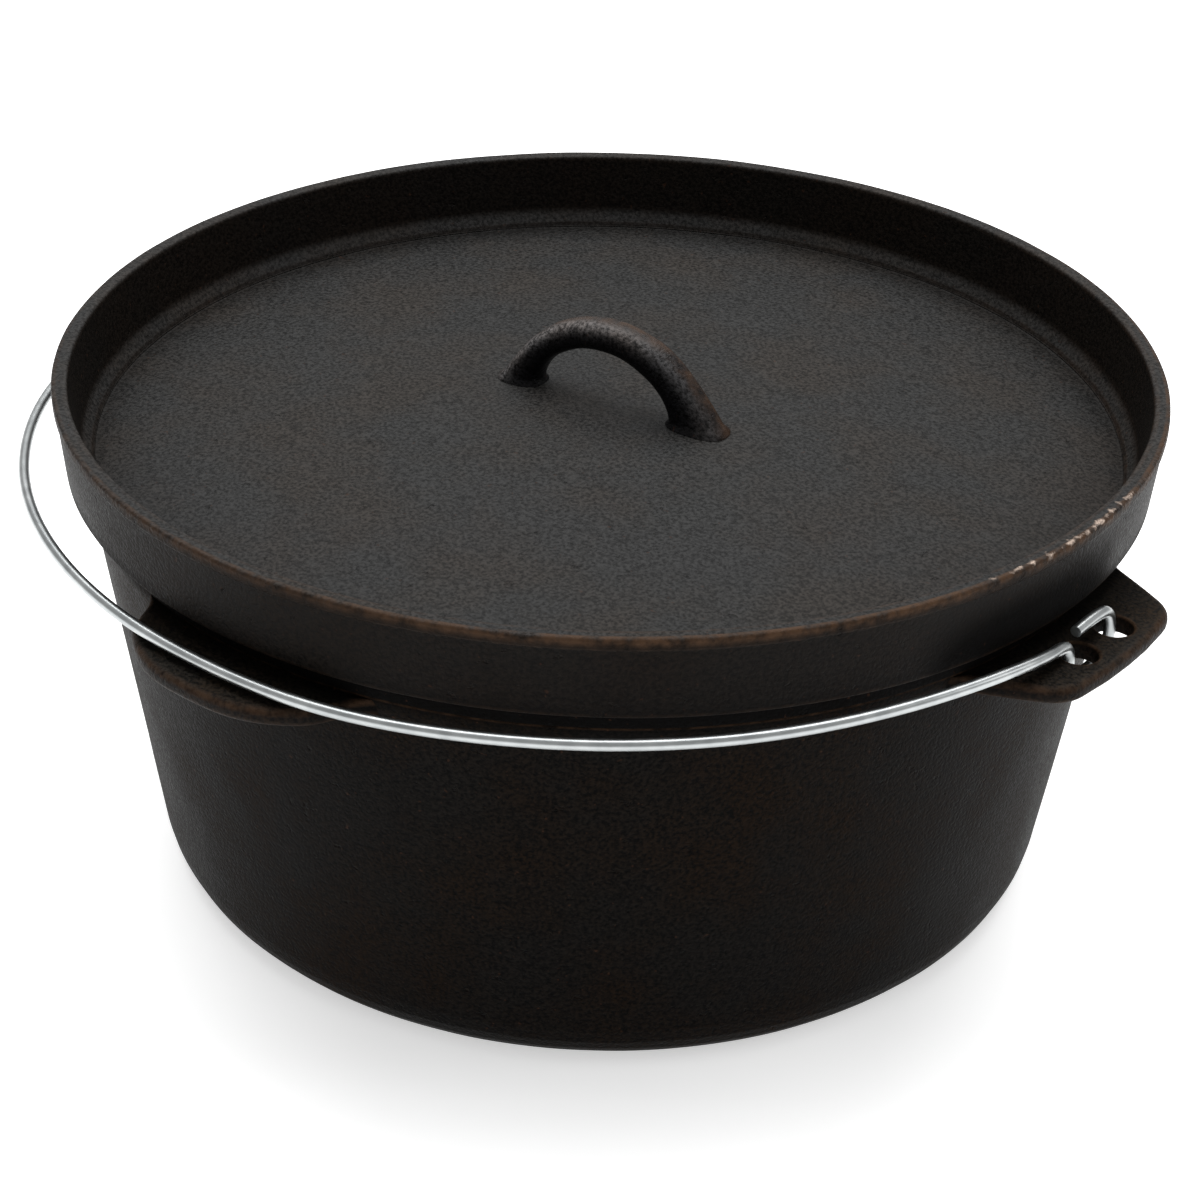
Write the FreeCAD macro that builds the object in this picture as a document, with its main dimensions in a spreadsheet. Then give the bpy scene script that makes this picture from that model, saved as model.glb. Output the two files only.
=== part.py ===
import FreeCAD, Part
import math
import os
import Sketcher

# Camp dutch oven: a seasoned cast-iron pot with two drilled bail ears and one rest tab, a dished
# lid with a tall coal rim and a cast-in loop handle, and a bail bent from one galvanised wire.
# Frame: origin at the middle of the flat base, +Z up, the ears on the X axis, the rest tab on -Y.

doc = FreeCAD.newDocument("dutch_oven")

# Driving dimensions in millimetres and degrees, one named cell each.
DIMENSIONS = [
    # Pot: a plain tapered wall on a flat floor.
    ("rim_radius", 177.8),
    ("pot_height", 144.0),
    ("base_radius", 157.7),
    ("corner_radius", 18.0),
    ("pot_wall", 5.0),
    ("pot_floor", 5.5),
    ("rim_break", 0.8),
    # Flat tabs just under the rim: two bail ears and the rest tab share one thickness.
    ("tab_thickness", 6.0),
    ("tab_drop", 1.2),
    ("tab_edge_round", 2.4),
    ("ear_reach", 27.2),
    ("ear_nose_width", 64.0),
    ("ear_root_width", 77.0),
    ("ear_corner_radius", 13.0),
    ("ear_root_radius", 8.0),
    ("rest_reach", 23.7),
    ("rest_nose_width", 44.0),
    ("rest_root_width", 74.0),
    ("rest_corner_radius", 20.0),
    ("rest_root_radius", 8.0),
    # Two cast holes in each ear leave a bridge between them, which the bail's eye goes round.
    ("hole_radius", 6.2),
    ("bridge_width", 9.0),
    ("hole_break", 0.8),
    # Lid: coal rim above the plate, seat land and spigot below it.
    ("rim_overhang", 9.7),
    ("lid_height", 36.0),
    ("lid_ring_width", 5.6),
    ("ring_round", 1.4),
    ("lip_height", 3.8),
    ("lip_step", 0.7),
    ("skirt_taper", 2.3),
    ("skirt_clearance", 7.3),
    ("skirt_break", 0.8),
    ("seat_land", 0.7),
    ("plate_thickness", 5.0),
    ("dome_rise", 9.0),
    ("floor_height", 8.8),
    ("rim_lean", 3.3),
    ("bevel_run", 3.5),
    ("bevel_rise", 4.3),
    ("crease_run", 0.4),
    ("crease_depth", 1.4),
    ("spigot_clearance", 1.4),
    ("spigot_depth", 5.0),
    ("spigot_width", 5.5),
    ("spigot_break", 1.2),
    ("lid_turn", 7.0),
    # Loop handle cast on the middle of the lid.
    ("handle_height", 30.0),
    ("handle_span", 82.0),
    ("handle_bar", 11.2),
    ("handle_leg", 13.0),
    ("handle_depth", 13.4),
    ("handle_draft", 1.5),
    ("handle_edge_round", 4.5),
    ("handle_foot_round", 3.0),
    ("handle_root", 3.0),
    # Bail: one wire, a round bow with an open eye at each end.
    ("wire_diameter", 3.8),
    ("bow_clearance", 6.6),
    ("shoulder_radius", 100.0),
    ("eye_inset", 3.3),
    ("eye_length", 26.0),
    ("eye_height", 16.0),
    ("leg_bend_radius", 6.0),
    ("tail_rise", 10.0),
    ("tail_length", 16.0),
    ("rest_gap", 0.3),
]

sheet = doc.addObject("Spreadsheet::Sheet", "Dims")
for row, (alias, number) in enumerate(DIMENSIONS, start=1):
    sheet.set("A%d" % row, alias)
    sheet.set("B%d" % row, str(number))
    sheet.setAlias("B%d" % row, alias)
doc.recompute()

# Places that several pieces share, each an expression of the driving dimensions.
WALL_SLOPE = "atan((Dims.rim_radius - Dims.base_radius) / Dims.pot_height)"
WALL_ACROSS = f"(Dims.pot_wall / cos({WALL_SLOPE}))"
TAB_BOTTOM = "(Dims.pot_height - Dims.tab_drop - Dims.tab_thickness)"
TAB_TOP = "(Dims.pot_height - Dims.tab_drop)"
PIVOT_HEIGHT = "(Dims.pot_height - Dims.tab_drop - Dims.tab_thickness / 2)"
RING_RADIUS = "(Dims.rim_radius + Dims.rim_overhang)"
WIRE_RADIUS = "(Dims.wire_diameter / 2)"
BOW_RADIUS = f"({RING_RADIUS} + Dims.bow_clearance + {WIRE_RADIUS})"
EYE_CENTRE = f"({BOW_RADIUS} - Dims.eye_inset)"
LEG_LEVEL = "(Dims.eye_height / 2)"
LEG_END = "(Dims.eye_length / 2 + Dims.leg_bend_radius)"
BEVEL_TOP = f"({RING_RADIUS} - Dims.lid_ring_width - Dims.rim_lean)"
BEVEL_BOTTOM = f"({BEVEL_TOP} - Dims.bevel_run)"
DOME_EDGE = f"({BEVEL_BOTTOM} - Dims.crease_run)"
DOME_TOP = "(Dims.floor_height + Dims.dome_rise)"
DOME_RADIUS = f"(({DOME_EDGE} ^ 2 + Dims.dome_rise ^ 2) / (2 * Dims.dome_rise))"


def value(expression):
    """The number that an expression of the sheet's cells comes to."""
    return float(sheet.evalExpression(expression))


def point_at(place):
    """A pair of expressions as a point of a sketch."""
    return FreeCAD.Vector(value(place[0]), value(place[1]), 0)


def sketch_on(body, name, role, offset="0"):
    """A sketch on one of the body's origin planes, moved along that plane's normal."""
    plane = next(item for item in body.Origin.OriginFeatures if item.Role == role)
    sketch = body.newObject("Sketcher::SketchObject", name)
    sketch.AttachmentSupport = (plane, [""])
    sketch.MapMode = "FlatFace"
    sketch.setExpression("AttachmentOffset.Base.z", offset)
    return sketch


def place_point(sketch, edge, end, place):
    """Ties an edge's end or centre to a pair of expressions."""
    for kind, axis, expression in (("DistanceX", -2, place[0]), ("DistanceY", -1, place[1])):
        distance = value(expression)
        if abs(distance) < 1e-9:
            sketch.addConstraint(Sketcher.Constraint("PointOnObject", edge, end, axis))
        elif distance > 0:
            index = sketch.addConstraint(Sketcher.Constraint(kind, -1, 1, edge, end, distance))
            sketch.setExpression(f"Constraints[{index}]", expression)
        else:
            index = sketch.addConstraint(Sketcher.Constraint(kind, edge, end, -1, 1, -distance))
            sketch.setExpression(f"Constraints[{index}]", f"-({expression})")


def set_radius(sketch, edge, expression):
    """Gives an arc or a circle its radius."""
    index = sketch.addConstraint(Sketcher.Constraint("Radius", edge, value(expression)))
    sketch.setExpression(f"Constraints[{index}]", expression)


def arc_between(start, stop, radius):
    """The shorter arc that turns anticlockwise from start to stop."""
    chord = stop - start
    height = math.sqrt(radius ** 2 - (chord.Length / 2) ** 2)
    left = FreeCAD.Vector(-chord.y, chord.x, 0).normalize()
    centre = (start + stop) / 2 + left * height
    first = math.atan2(start.y - centre.y, start.x - centre.x)
    last = math.atan2(stop.y - centre.y, stop.x - centre.x)
    if last < first:
        last += 2 * math.pi
    return Part.ArcOfCircle(Part.Circle(centre, FreeCAD.Vector(0, 0, 1), radius), first, last)


def draw(sketch, corners, bulges=None, closed=True):
    """Edges from corner to corner, tied to the corners' expressions. A bulge gives the edge that
    starts at its corner a radius: positive to turn anticlockwise, negative to turn clockwise."""
    bulges = bulges or {}
    points = [point_at(corner) for corner in corners]
    count = len(points) if closed else len(points) - 1
    entering, leaving = [], []
    for edge in range(count):
        start, stop = points[edge], points[(edge + 1) % len(points)]
        turn, radius = bulges.get(edge, (0, "0"))
        if turn == 0:
            sketch.addGeometry(Part.LineSegment(start, stop), False)
        elif turn > 0:
            sketch.addGeometry(arc_between(start, stop, value(radius)), False)
        else:
            sketch.addGeometry(arc_between(stop, start, value(radius)), False)
        entering.append(2 if turn < 0 else 1)
        leaving.append(1 if turn < 0 else 2)
    for edge in range(count if closed else count - 1):
        following = (edge + 1) % count
        joint = Sketcher.Constraint("Coincident", edge, leaving[edge], following, entering[following])
        sketch.addConstraint(joint)
    for edge in range(count):
        place_point(sketch, edge, entering[edge], corners[edge])
    if not closed:
        place_point(sketch, count - 1, leaving[-1], corners[-1])
    for edge, (turn, radius) in bulges.items():
        set_radius(sketch, edge, radius)


def draw_circle(sketch, centre, radius):
    """A circle whose centre is tied to a pair of expressions."""
    circle = Part.Circle(point_at(centre), FreeCAD.Vector(0, 0, 1), value(radius))
    edge = sketch.addGeometry(circle, False)
    place_point(sketch, edge, 3, centre)
    set_radius(sketch, edge, radius)


def revolve(body, sketch, name):
    """A full turn of the outline about the vertical axis."""
    feature = body.newObject("PartDesign::Revolution", name)
    feature.Profile = sketch
    feature.ReferenceAxis = (sketch, ["V_Axis"])
    feature.Angle = 360.0
    doc.recompute()
    return feature


def pad(body, sketch, name, length, both_ways=False):
    """The outline given a thickness along the sketch's normal."""
    feature = body.newObject("PartDesign::Pad", name)
    feature.Profile = sketch
    feature.setExpression("Length", length)
    feature.Midplane = both_ways
    doc.recompute()
    return feature


def edges_of(body, chosen):
    """The body's present solid, with the names of the edges that the test picks."""
    base = body.Tip
    return base, [f"Edge{n}" for n, edge in enumerate(base.Shape.Edges, start=1) if chosen(edge)]


def round_edges(body, name, radius, chosen):
    """A fillet along the picked edges."""
    edges = edges_of(body, chosen)
    feature = body.newObject("PartDesign::Fillet", name)
    feature.Base = edges
    feature.setExpression("Radius", radius)
    doc.recompute()


def break_edges(body, name, size, chosen):
    """A small even bevel along the picked edges."""
    edges = edges_of(body, chosen)
    feature = body.newObject("PartDesign::Chamfer", name)
    feature.Base = edges
    feature.setExpression("Size", size)
    doc.recompute()


def middle(edge):
    """The point half way along an edge."""
    first, last = edge.ParameterRange
    return edge.valueAt((first + last) / 2)


def ring_at(radius, height):
    """A test for the round edges of one radius at one height."""
    def chosen(edge):
        point = middle(edge)
        off_radius = abs(math.hypot(point.x, point.y) - value(radius))
        off_height = abs(point.z - value(height))
        return level(edge) and off_radius < 1e-4 and off_height < 1e-4
    return chosen


def level(edge):
    """A test for edges that lie level."""
    return edge.BoundBox.ZLength < 1e-6


def upright(edge):
    """A test for straight vertical edges."""
    return edge.BoundBox.XLength < 1e-6 and edge.BoundBox.YLength < 1e-6


# The outside form of the pot: a tapered wall that turns into the flat base.
def pot_form():
    body = doc.addObject("PartDesign::Body", "PotForm")
    outline = sketch_on(body, "PotOutside", "XZ_Plane")
    draw(outline, [
        ("0", "0"),
        ("Dims.base_radius", "0"),
        ("Dims.rim_radius", "Dims.pot_height"),
        ("0", "Dims.pot_height"),
    ])
    revolve(body, outline, "PotTurn")
    round_edges(body, "PotCorner", "Dims.corner_radius", ring_at("Dims.base_radius", "0"))
    break_edges(body, "PotRim", "Dims.rim_break", ring_at("Dims.rim_radius", "Dims.pot_height"))
    return body


# The core that leaves the pot's wall and floor, flared where it breaks the rim's inner edge.
def pot_core():
    body = doc.addObject("PartDesign::Body", "PotCore")
    foot = f"(Dims.base_radius + Dims.pot_floor * tan({WALL_SLOPE}) - {WALL_ACROSS})"
    rim = f"(Dims.rim_radius - {WALL_ACROSS})"
    above = "(Dims.pot_height + Dims.tab_thickness)"
    outline = sketch_on(body, "PotInside", "XZ_Plane")
    draw(outline, [
        ("0", "Dims.pot_floor"),
        (foot, "Dims.pot_floor"),
        (f"{rim} - Dims.rim_break * tan({WALL_SLOPE})", "Dims.pot_height - Dims.rim_break"),
        (f"{rim} + Dims.rim_break", "Dims.pot_height"),
        (f"{rim} + Dims.rim_break", above),
        ("0", above),
    ])
    revolve(body, outline, "CoreTurn")
    inner_corner = "Dims.corner_radius - Dims.pot_wall"
    round_edges(body, "CoreCorner", inner_corner, ring_at(foot, "Dims.pot_floor"))
    return body


# A flat tab that stands out from the wall along +X. Its nose is an arc about the pot's axis, its
# sides spread to the root, and its heel is buried in the wall.
def flat_tab(name):
    body = doc.addObject("PartDesign::Body", name)
    kind = "Dims." + name.lower()
    nose_radius = f"(Dims.rim_radius + {kind}_reach)"
    nose_half = f"({kind}_nose_width / 2)"
    nose_across = f"sqrt({nose_radius} ^ 2 - {nose_half} ^ 2)"
    root_half = f"({kind}_root_width / 2)"
    root_across = f"(Dims.rim_radius + {kind}_root_radius)"
    heel_half = f"({kind}_root_width / 2 + {kind}_root_radius + Dims.pot_wall)"
    heel_across = "(Dims.rim_radius - 2 * Dims.pot_wall)"
    outline = sketch_on(body, name + "Outline", "XY_Plane", TAB_BOTTOM)
    draw(outline, [
        (nose_across, f"-{nose_half}"),
        (nose_across, nose_half),
        (root_across, root_half),
        (heel_across, heel_half),
        (heel_across, f"-{heel_half}"),
        (root_across, f"-{root_half}"),
    ], {0: (1, nose_radius)})
    pad(body, outline, name + "Plate", "Dims.tab_thickness")

    def nose_corner(edge):
        return upright(edge) and abs(middle(edge).x - value(nose_across)) < 1e-4

    def root_corner(edge):
        return upright(edge) and abs(middle(edge).x - value(root_across)) < 1e-4

    round_edges(body, name + "Corners", f"{kind}_corner_radius", nose_corner)
    round_edges(body, name + "Roots", f"{kind}_root_radius", root_corner)
    round_edges(body, name + "Edge", "Dims.tab_edge_round", level)
    return body


# The two holes of a bail ear, either side of the bridge, with their edges broken.
def drill_ear(body):
    holes = sketch_on(body, "EarHoles", "XY_Plane", TAB_BOTTOM)
    off_centre = "(Dims.bridge_width / 2 + Dims.hole_radius)"
    draw_circle(holes, (EYE_CENTRE, off_centre), "Dims.hole_radius")
    draw_circle(holes, (EYE_CENTRE, f"-{off_centre}"), "Dims.hole_radius")
    before = body.Shape.Volume
    pocket = body.newObject("PartDesign::Pocket", "EarBores")
    pocket.Profile = holes
    pocket.Type = "ThroughAll"
    pocket.Reversed = True
    doc.recompute()
    print("ear bores removed", round(before - body.Shape.Volume, 1), "mm3")

    def hole_edge(edge):
        curve = edge.Curve
        return isinstance(curve, Part.Circle) and abs(curve.Radius - value("Dims.hole_radius")) < 1e-4

    break_edges(body, "HoleBreaks", "Dims.hole_break", hole_edge)


# The pot is one casting: the form, two ears and the rest tab, less the core.
def make_pot():
    form = pot_form()
    core = pot_core()
    ear = flat_tab("Ear")
    drill_ear(ear)
    rest = flat_tab("Rest")
    rest.Placement = FreeCAD.Placement(FreeCAD.Vector(0, 0, 0), FreeCAD.Rotation(-90, 0, 0))
    far_ear = doc.addObject("Part::Mirroring", "FarEar")
    far_ear.Source = ear
    far_ear.Normal = FreeCAD.Vector(1, 0, 0)
    solid = doc.addObject("Part::MultiFuse", "PotSolid")
    solid.Shapes = [form, ear, far_ear, rest]
    doc.recompute()
    pot = doc.addObject("Part::Cut", "PotCasting")
    pot.Base = solid
    pot.Tool = core
    pot.Refine = True
    pot.Label = "pot"
    doc.recompute()
    return pot


# The lid's plate and coal rim, turned in one outline from the seat at z = 0. The seat land and
# the spigot below it find the pot's rim.
def lid_plate():
    body = doc.addObject("PartDesign::Body", "LidPlate")
    inner_rim = f"(Dims.rim_radius - {WALL_ACROSS})"
    spigot_outer = f"({inner_rim} - Dims.spigot_clearance - Dims.spigot_depth * tan({WALL_SLOPE}))"
    spigot_inner = f"({spigot_outer} - Dims.spigot_width)"
    land_outer = "(Dims.rim_radius + Dims.seat_land)"
    lip_bottom = "(Dims.lid_height - Dims.lip_height)"
    wall_top = f"({RING_RADIUS} - Dims.lip_step)"
    wall_foot = f"({wall_top} - Dims.skirt_taper)"
    ring_inner = f"({RING_RADIUS} - Dims.lid_ring_width)"
    foot_level = "(Dims.floor_height + Dims.crease_depth)"
    under_edge = "(Dims.floor_height - Dims.plate_thickness)"
    under_radius = f"(({spigot_inner} ^ 2 + Dims.dome_rise ^ 2) / (2 * Dims.dome_rise))"
    outline = sketch_on(body, "LidSection", "YZ_Plane")
    draw(outline, [
        ("0", f"{under_edge} + Dims.dome_rise"),
        (spigot_inner, under_edge),
        (f"{spigot_inner} + Dims.spigot_break", "-Dims.spigot_depth"),
        (f"{spigot_outer} - Dims.spigot_break", "-Dims.spigot_depth"),
        (spigot_outer, "-Dims.spigot_depth + Dims.spigot_break"),
        (spigot_outer, "0"),
        (land_outer, "0"),
        (land_outer, "Dims.skirt_clearance - Dims.lip_step"),
        (f"{wall_foot} - Dims.skirt_break", "Dims.skirt_clearance"),
        (wall_foot, "Dims.skirt_clearance + Dims.skirt_break"),
        (wall_top, f"{lip_bottom} - Dims.lip_step"),
        (RING_RADIUS, lip_bottom),
        (RING_RADIUS, "Dims.lid_height"),
        (ring_inner, "Dims.lid_height"),
        (BEVEL_TOP, f"{foot_level} + Dims.bevel_rise"),
        (BEVEL_BOTTOM, foot_level),
        (DOME_EDGE, "Dims.floor_height"),
        ("0", DOME_TOP),
    ], {0: (-1, under_radius), 16: (1, DOME_RADIUS)})
    revolve(body, outline, "LidTurn")
    outer_edge = ring_at(RING_RADIUS, "Dims.lid_height")
    inner_edge = ring_at(ring_inner, "Dims.lid_height")

    def ring_edges(edge):
        return outer_edge(edge) or inner_edge(edge)

    round_edges(body, "RingEdges", "Dims.ring_round", ring_edges)
    return body


# The loop handle: a bar bent in one arc from the dome up and back to it. Its back is one arc and
# its grip another, a little further apart at the feet than at the crown. The broad faces lean in
# towards the top, as the mould needs, and the long edges are rounded.
def lid_handle():
    body = doc.addObject("PartDesign::Body", "LidHandle")
    foot = f"({DOME_TOP} - Dims.handle_root)"

    def draw_arch(name, half_span, height):
        """The outline under an arc over a span of the dome, carried down to the buried foot."""
        radius = f"(({half_span} ^ 2 + {height} ^ 2) / (2 * {height}))"
        drop = f"({radius} - {height} - Dims.handle_root)"
        foot_half = f"sqrt({radius} ^ 2 - {drop} ^ 2)"
        sketch = sketch_on(body, name, "XZ_Plane")
        draw(sketch, [(f"-{foot_half}", foot), (foot_half, foot)], {1: (1, radius)})
        return sketch

    back_half = "(Dims.handle_span / 2)"
    seat_depth = f"(Dims.handle_depth + 2 * {DOME_TOP} * tan(Dims.handle_draft))"
    back = draw_arch("HandleBack", back_half, "Dims.handle_height")
    pad(body, back, "HandlePlate", seat_depth, both_ways=True)
    grip_half = f"({back_half} - Dims.handle_leg)"
    grip_height = "(Dims.handle_height - Dims.handle_bar)"
    grip = draw_arch("HandleGrip", grip_half, grip_height)
    before = body.Shape.Volume
    opening = body.newObject("PartDesign::Pocket", "GripArch")
    opening.Profile = grip
    opening.Midplane = True
    opening.setExpression("Length", f"2 * {seat_depth}")
    doc.recompute()
    print("grip removed", round(before - body.Shape.Volume, 1), "mm3")

    base = body.Tip
    broad = []
    for number, face in enumerate(base.Shape.Faces, start=1):
        if face.BoundBox.YLength < 1e-6:
            broad.append(f"Face{number}")
    sides = body.newObject("PartDesign::Draft", "HandleDraft")
    sides.Base = (base, broad)
    plane = next(item for item in body.Origin.OriginFeatures if item.Role == "XY_Plane")
    sides.NeutralPlane = (plane, [""])
    sides.setExpression("Angle", "Dims.handle_draft")
    doc.recompute()
    # The draft takes its neutral plane on the second pass.
    sides.touch()
    doc.recompute()

    def long_edge(edge):
        return not level(edge)

    round_edges(body, "HandleEdges", "Dims.handle_edge_round", long_edge)
    return body


# The lid is one casting: plate and handle grown together with a small fillet round each foot. It
# sits on the pot's rim, turned a little from the ears' line.
def make_lid():
    body = lid_plate()
    body.Label = "lid"
    join = body.newObject("PartDesign::Boolean", "HandleJoin")
    join.Type = "Fuse"
    join.setObjects([lid_handle()])
    doc.recompute()

    def on_dome(edge):
        point = middle(edge)
        radius = math.hypot(point.x, point.y)
        drop = value(DOME_RADIUS) - math.sqrt(value(DOME_RADIUS) ** 2 - radius ** 2)
        return abs(point.z - value(DOME_TOP) + drop) < 1e-3 and radius < value("Dims.handle_span")

    round_edges(body, "HandleFeet", "Dims.handle_foot_round", on_dome)
    body.setExpression("Placement.Base.z", "Dims.pot_height")
    body.setExpression("Placement.Rotation.Angle", "Dims.lid_turn")
    doc.recompute()
    return body


# A wire's round section on a body's XZ plane, where a length of the wire starts.
def wire_section(body, name, offset, centre):
    section = sketch_on(body, name, "XZ_Plane", offset)
    draw_circle(section, centre, WIRE_RADIUS)
    return section


def wire_along(body, name, section, path):
    """The wire's section drawn along a path."""
    feature = body.newObject("PartDesign::AdditivePipe", name)
    feature.Profile = section
    feature.Spine = (path, [])
    doc.recompute()
    return feature


# The bow lies level in the bail's own frame: a round arc about the pot's axis whose shoulders
# turn in to two short straight legs, one at each ear.
def bow_path(body):
    path = sketch_on(body, "BowPath", "XY_Plane", LEG_LEVEL)
    bow = value(BOW_RADIUS)
    shoulder = value("Dims.shoulder_radius")
    eye = value(EYE_CENTRE)
    leg_end = value(LEG_END)
    along = math.sqrt((bow - shoulder) ** 2 - (eye - shoulder) ** 2)
    turn = math.atan2(along, eye - shoulder)
    up = FreeCAD.Vector(0, 0, 1)
    right_centre = FreeCAD.Vector(eye - shoulder, -along, 0)
    left_centre = FreeCAD.Vector(shoulder - eye, -along, 0)
    right_arc = Part.ArcOfCircle(Part.Circle(right_centre, up, shoulder), -turn, 0)
    bow_arc = Part.ArcOfCircle(Part.Circle(FreeCAD.Vector(0, 0, 0), up, bow), turn - math.pi, -turn)
    left_arc = Part.ArcOfCircle(Part.Circle(left_centre, up, shoulder), math.pi, math.pi + turn)
    right_leg = Part.LineSegment(FreeCAD.Vector(eye, -leg_end, 0), FreeCAD.Vector(eye, -along, 0))
    left_leg = Part.LineSegment(FreeCAD.Vector(-eye, -along, 0), FreeCAD.Vector(-eye, -leg_end, 0))
    for piece in (right_leg, right_arc, bow_arc, left_arc, left_leg):
        path.addGeometry(piece, False)
    path.addConstraint(Sketcher.Constraint("Tangent", 0, 2, 1, 2))
    path.addConstraint(Sketcher.Constraint("Tangent", 1, 1, 2, 2))
    path.addConstraint(Sketcher.Constraint("Tangent", 2, 1, 3, 2))
    path.addConstraint(Sketcher.Constraint("Tangent", 3, 1, 4, 1))
    path.addConstraint(Sketcher.Constraint("Coincident", 2, 3, -1, 1))
    set_radius(path, 1, "Dims.shoulder_radius")
    set_radius(path, 2, BOW_RADIUS)
    set_radius(path, 3, "Dims.shoulder_radius")
    place_point(path, 0, 1, (EYE_CENTRE, f"-{LEG_END}"))
    place_point(path, 4, 2, (f"-{EYE_CENTRE}", f"-{LEG_END}"))
    path.addConstraint(Sketcher.Constraint("Vertical", 0))
    path.addConstraint(Sketcher.Constraint("Vertical", 4))
    return path


# The eye lies in an upright plane through the ear's bridge, centred on the pivot: the leg turns
# down the front hole, passes under the bridge, comes up the rear hole and folds back over it.
def eye_path(body):
    path = sketch_on(body, "EyePath", "YZ_Plane", EYE_CENTRE)
    half_length = "(Dims.eye_length / 2)"
    fold = LEG_LEVEL
    bend_level = f"({LEG_LEVEL} - Dims.leg_bend_radius)"
    fold_centre = f"({half_length} - {fold})"
    fold_end = (f"{fold_centre} + {fold} * sin(Dims.tail_rise)", f"{fold} * cos(Dims.tail_rise)")
    tail_end = (f"{fold_end[0]} - Dims.tail_length * cos(Dims.tail_rise)",
                f"{fold_end[1]} + Dims.tail_length * sin(Dims.tail_rise)")
    draw(path, [
        (f"-{LEG_END}", LEG_LEVEL),
        (f"-{half_length}", bend_level),
        (f"-{half_length}", "0"),
        (f"-{fold_centre}", f"-{fold}"),
        (fold_centre, f"-{fold}"),
        (half_length, "0"),
        fold_end,
        tail_end,
    ], {
        0: (-1, "Dims.leg_bend_radius"),
        2: (1, fold),
        4: (1, fold),
        5: (1, fold),
    }, closed=False)
    return path


# The bail rests on the tab: its frame sits on the pivot line, tipped until the bow touches down.
def make_bail():
    body = doc.addObject("PartDesign::Body", "BailWire")
    body.Label = "bail"
    bow_start = wire_section(body, "BowSection", LEG_END, (EYE_CENTRE, LEG_LEVEL))
    wire_along(body, "Bow", bow_start, bow_path(body))
    eye_start = wire_section(body, "EyeSection", LEG_END, (EYE_CENTRE, LEG_LEVEL))
    eye = wire_along(body, "Eye", eye_start, eye_path(body))
    mirror = body.newObject("PartDesign::Mirrored", "FarEye")
    mirror.Originals = [eye]
    plane = next(item for item in body.Origin.OriginFeatures if item.Role == "YZ_Plane")
    mirror.MirrorPlane = (plane, [""])
    body.Tip = mirror
    doc.recompute()

    rest_level = f"({TAB_TOP} + {WIRE_RADIUS} + Dims.rest_gap - {PIVOT_HEIGHT})"
    reach = f"sqrt({BOW_RADIUS} ^ 2 + {LEG_LEVEL} ^ 2)"
    tilt = f"atan({LEG_LEVEL} / {BOW_RADIUS}) - asin({rest_level} / {reach})"
    across = FreeCAD.Vector(1, 0, 0)
    body.Placement = FreeCAD.Placement(FreeCAD.Vector(), FreeCAD.Rotation(across, value(tilt)))
    body.setExpression("Placement.Base.z", PIVOT_HEIGHT)
    body.setExpression("Placement.Rotation.Angle", tilt)
    doc.recompute()
    return body


nodes = [make_pot(), make_lid(), make_bail()]

doc.recompute()
for item in doc.Objects:
    if "Invalid" in item.State or "Error" in item.State:
        raise RuntimeError(f"{item.Label} did not build: {item.State}")
os.makedirs("parts", exist_ok=True)
for node in nodes:
    shape = node.Shape
    if shape.isNull() or not shape.isValid() or len(shape.Solids) != 1:
        raise RuntimeError(f"{node.Label} is not one valid solid")
    shape.exportStep(f"parts/{node.Label}.step")
    box = shape.BoundBox
    print(node.Label, round(shape.Volume / 1000, 1), "cm3, from",
          [round(v, 2) for v in (box.XMin, box.YMin, box.ZMin)],
          "to", [round(v, 2) for v in (box.XMax, box.YMax, box.ZMax)])
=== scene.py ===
import math
import bmesh
import bpy
from mathutils import Matrix, Quaternion, Vector, noise


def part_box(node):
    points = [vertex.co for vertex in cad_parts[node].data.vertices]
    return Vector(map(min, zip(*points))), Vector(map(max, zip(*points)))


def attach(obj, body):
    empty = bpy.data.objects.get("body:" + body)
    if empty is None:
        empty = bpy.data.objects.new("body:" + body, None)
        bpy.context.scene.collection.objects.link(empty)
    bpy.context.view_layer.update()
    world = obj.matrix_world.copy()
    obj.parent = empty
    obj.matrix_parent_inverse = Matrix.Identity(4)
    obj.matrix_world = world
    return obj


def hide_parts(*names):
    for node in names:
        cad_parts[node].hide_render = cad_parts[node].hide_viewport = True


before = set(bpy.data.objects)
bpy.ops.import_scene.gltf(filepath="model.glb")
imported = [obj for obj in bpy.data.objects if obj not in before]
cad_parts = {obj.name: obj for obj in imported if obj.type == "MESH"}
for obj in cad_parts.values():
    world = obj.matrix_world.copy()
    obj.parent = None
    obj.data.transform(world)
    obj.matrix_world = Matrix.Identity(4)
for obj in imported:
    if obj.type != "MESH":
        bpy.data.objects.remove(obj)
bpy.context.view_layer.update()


# The table top: a large pale matt sheet that the oven stands on, under one big soft light a little
# behind it and a weak one lower down at the right, in an evenly white room.
def matt_paper(name, colour, glow):
    """Matt paper with a faint mottle, and a slight glow that keeps it from looking grey."""
    mottle_scale = 60.0
    darker_share = 0.985
    paper = bpy.data.materials.new(name)
    paper.use_nodes = True
    nodes, links = paper.node_tree.nodes, paper.node_tree.links
    shader = nodes["Principled BSDF"]
    shader.inputs["Specular IOR Level"].default_value = 0.1
    mottle = nodes.new("ShaderNodeTexNoise")
    mottle.inputs["Scale"].default_value = mottle_scale
    tone = nodes.new("ShaderNodeValToRGB")
    tone.color_ramp.elements[0].color = (*(darker_share * part for part in colour), 1.0)
    tone.color_ramp.elements[1].color = (*colour, 1.0)
    links.new(mottle.outputs["Fac"], tone.inputs["Fac"])
    links.new(tone.outputs["Color"], shader.inputs["Base Color"])
    shader.inputs["Roughness"].default_value = 0.9
    shader.inputs["Emission Color"].default_value = (1.0, 1.0, 1.0, 1.0)
    shader.inputs["Emission Strength"].default_value = glow
    return paper


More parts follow.
